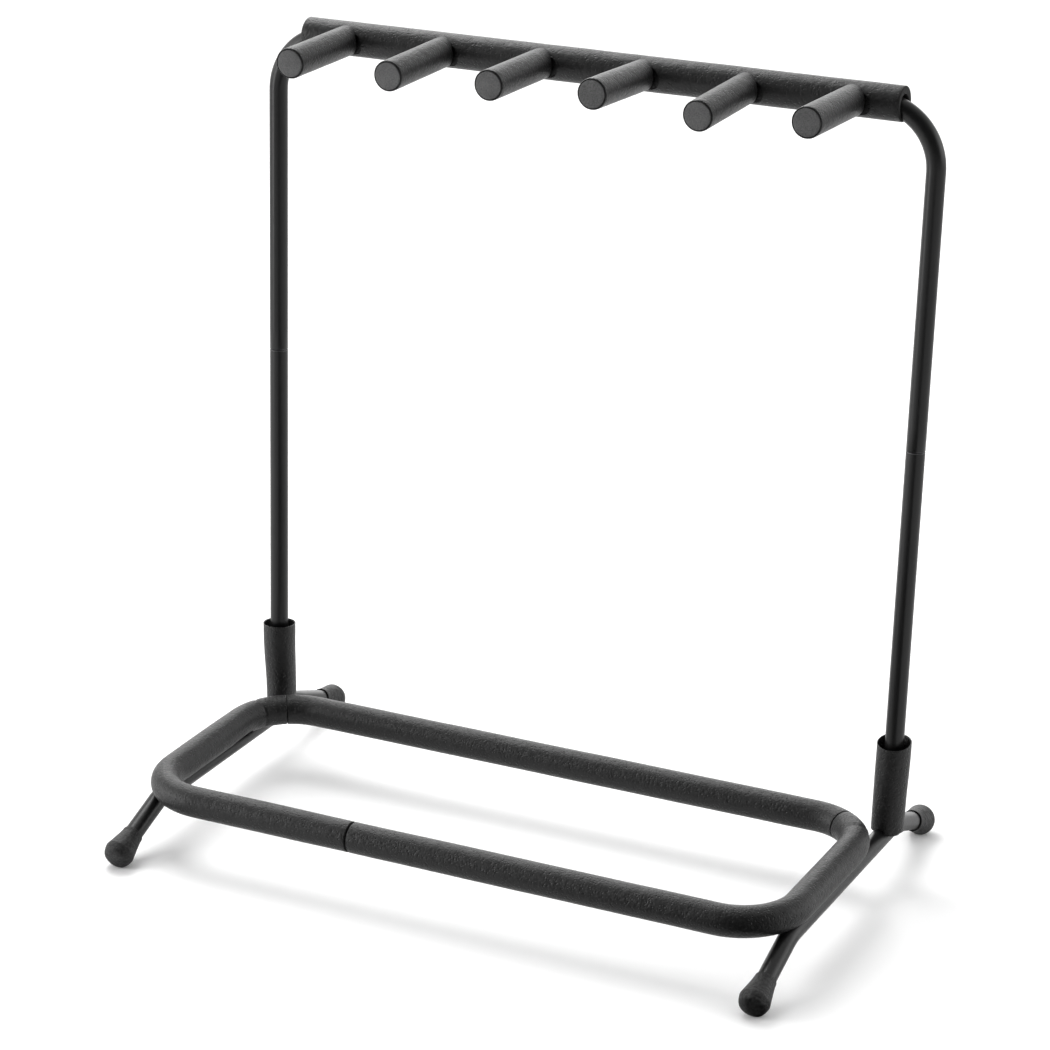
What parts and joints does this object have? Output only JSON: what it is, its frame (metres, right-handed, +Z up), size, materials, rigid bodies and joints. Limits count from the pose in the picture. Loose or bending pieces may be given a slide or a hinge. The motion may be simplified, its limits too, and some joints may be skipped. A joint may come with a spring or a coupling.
{
  "type": "guitar rack",
  "caption": "Knock-down floor rack for guitars: arched leg tubes with rubber boots, a padded floor ring, and an upright tube frame whose padded rail carries padded pegs.",
  "frame": {"origin": "on the floor, at the middle of the footprint of the four boots", "axes": "+X to the right as seen from the front, +Y to the back, +Z up; the pegs point towards -Y"},
  "size_m": [0.6208, 0.3898, 0.6757],
  "materials": {
    "black_steel": "satin black powder coat on round steel tube",
    "black_foam": "matt black closed-cell foam with a fine grainy skin",
    "black_rubber": "matt black moulded rubber",
    "black_plastic": "finely textured black plastic"
  },
  "bodies": {
    "base": {"boot_front_left": "black_rubber", "boot_front_right": "black_rubber", "boot_rear_left": "black_rubber", "boot_rear_right": "black_rubber", "leg_tube_left": "black_steel", "leg_tube_right": "black_steel", "post_socket_left": "black_steel", "post_socket_right": "black_steel", "ring_foam_left": "black_foam", "ring_foam_rear": "black_foam", "ring_foam_right": "black_foam", "ring_tube": "black_steel", "socket_sleeve_left": "black_foam", "socket_sleeve_right": "black_foam"},
    "lower_post_left": {"lower_post_left": "black_steel"},
    "lower_post_right": {"lower_post_right": "black_steel"},
    "upper_frame": {"peg_cap_1": "black_plastic", "peg_cap_2": "black_plastic", "peg_cap_3": "black_plastic", "peg_cap_4": "black_plastic", "peg_cap_5": "black_plastic", "peg_cap_6": "black_plastic", "peg_foam_1": "black_foam", "peg_foam_2": "black_foam", "peg_foam_3": "black_foam", "peg_foam_4": "black_foam", "peg_foam_5": "black_foam", "peg_foam_6": "black_foam", "peg_tube_1": "black_steel", "peg_tube_2": "black_steel", "peg_tube_3": "black_steel", "peg_tube_4": "black_steel", "peg_tube_5": "black_steel", "peg_tube_6": "black_steel", "rail_foam": "black_foam", "upper_frame": "black_steel"}
  },
  "joints": [
    {"name": "left_post_slide", "type": "slide", "parent": "base", "child": "lower_post_left", "axis": [0, 0.0549, 0.9985], "range_m": [0, 0.06]},
    {"name": "right_post_slide", "type": "slide", "parent": "base", "child": "lower_post_right", "axis": [0, 0.0549, 0.9985], "range_m": [0, 0.06]},
    {"name": "upper_frame_slide", "type": "slide", "parent": "lower_post_left", "child": "upper_frame", "axis": [0, 0.0549, 0.9985], "range_m": [0, 0.045]}
  ],
  "couplings": [
    {"joint": "right_post_slide", "follows": "left_post_slide", "ratio": 1}
  ]
}
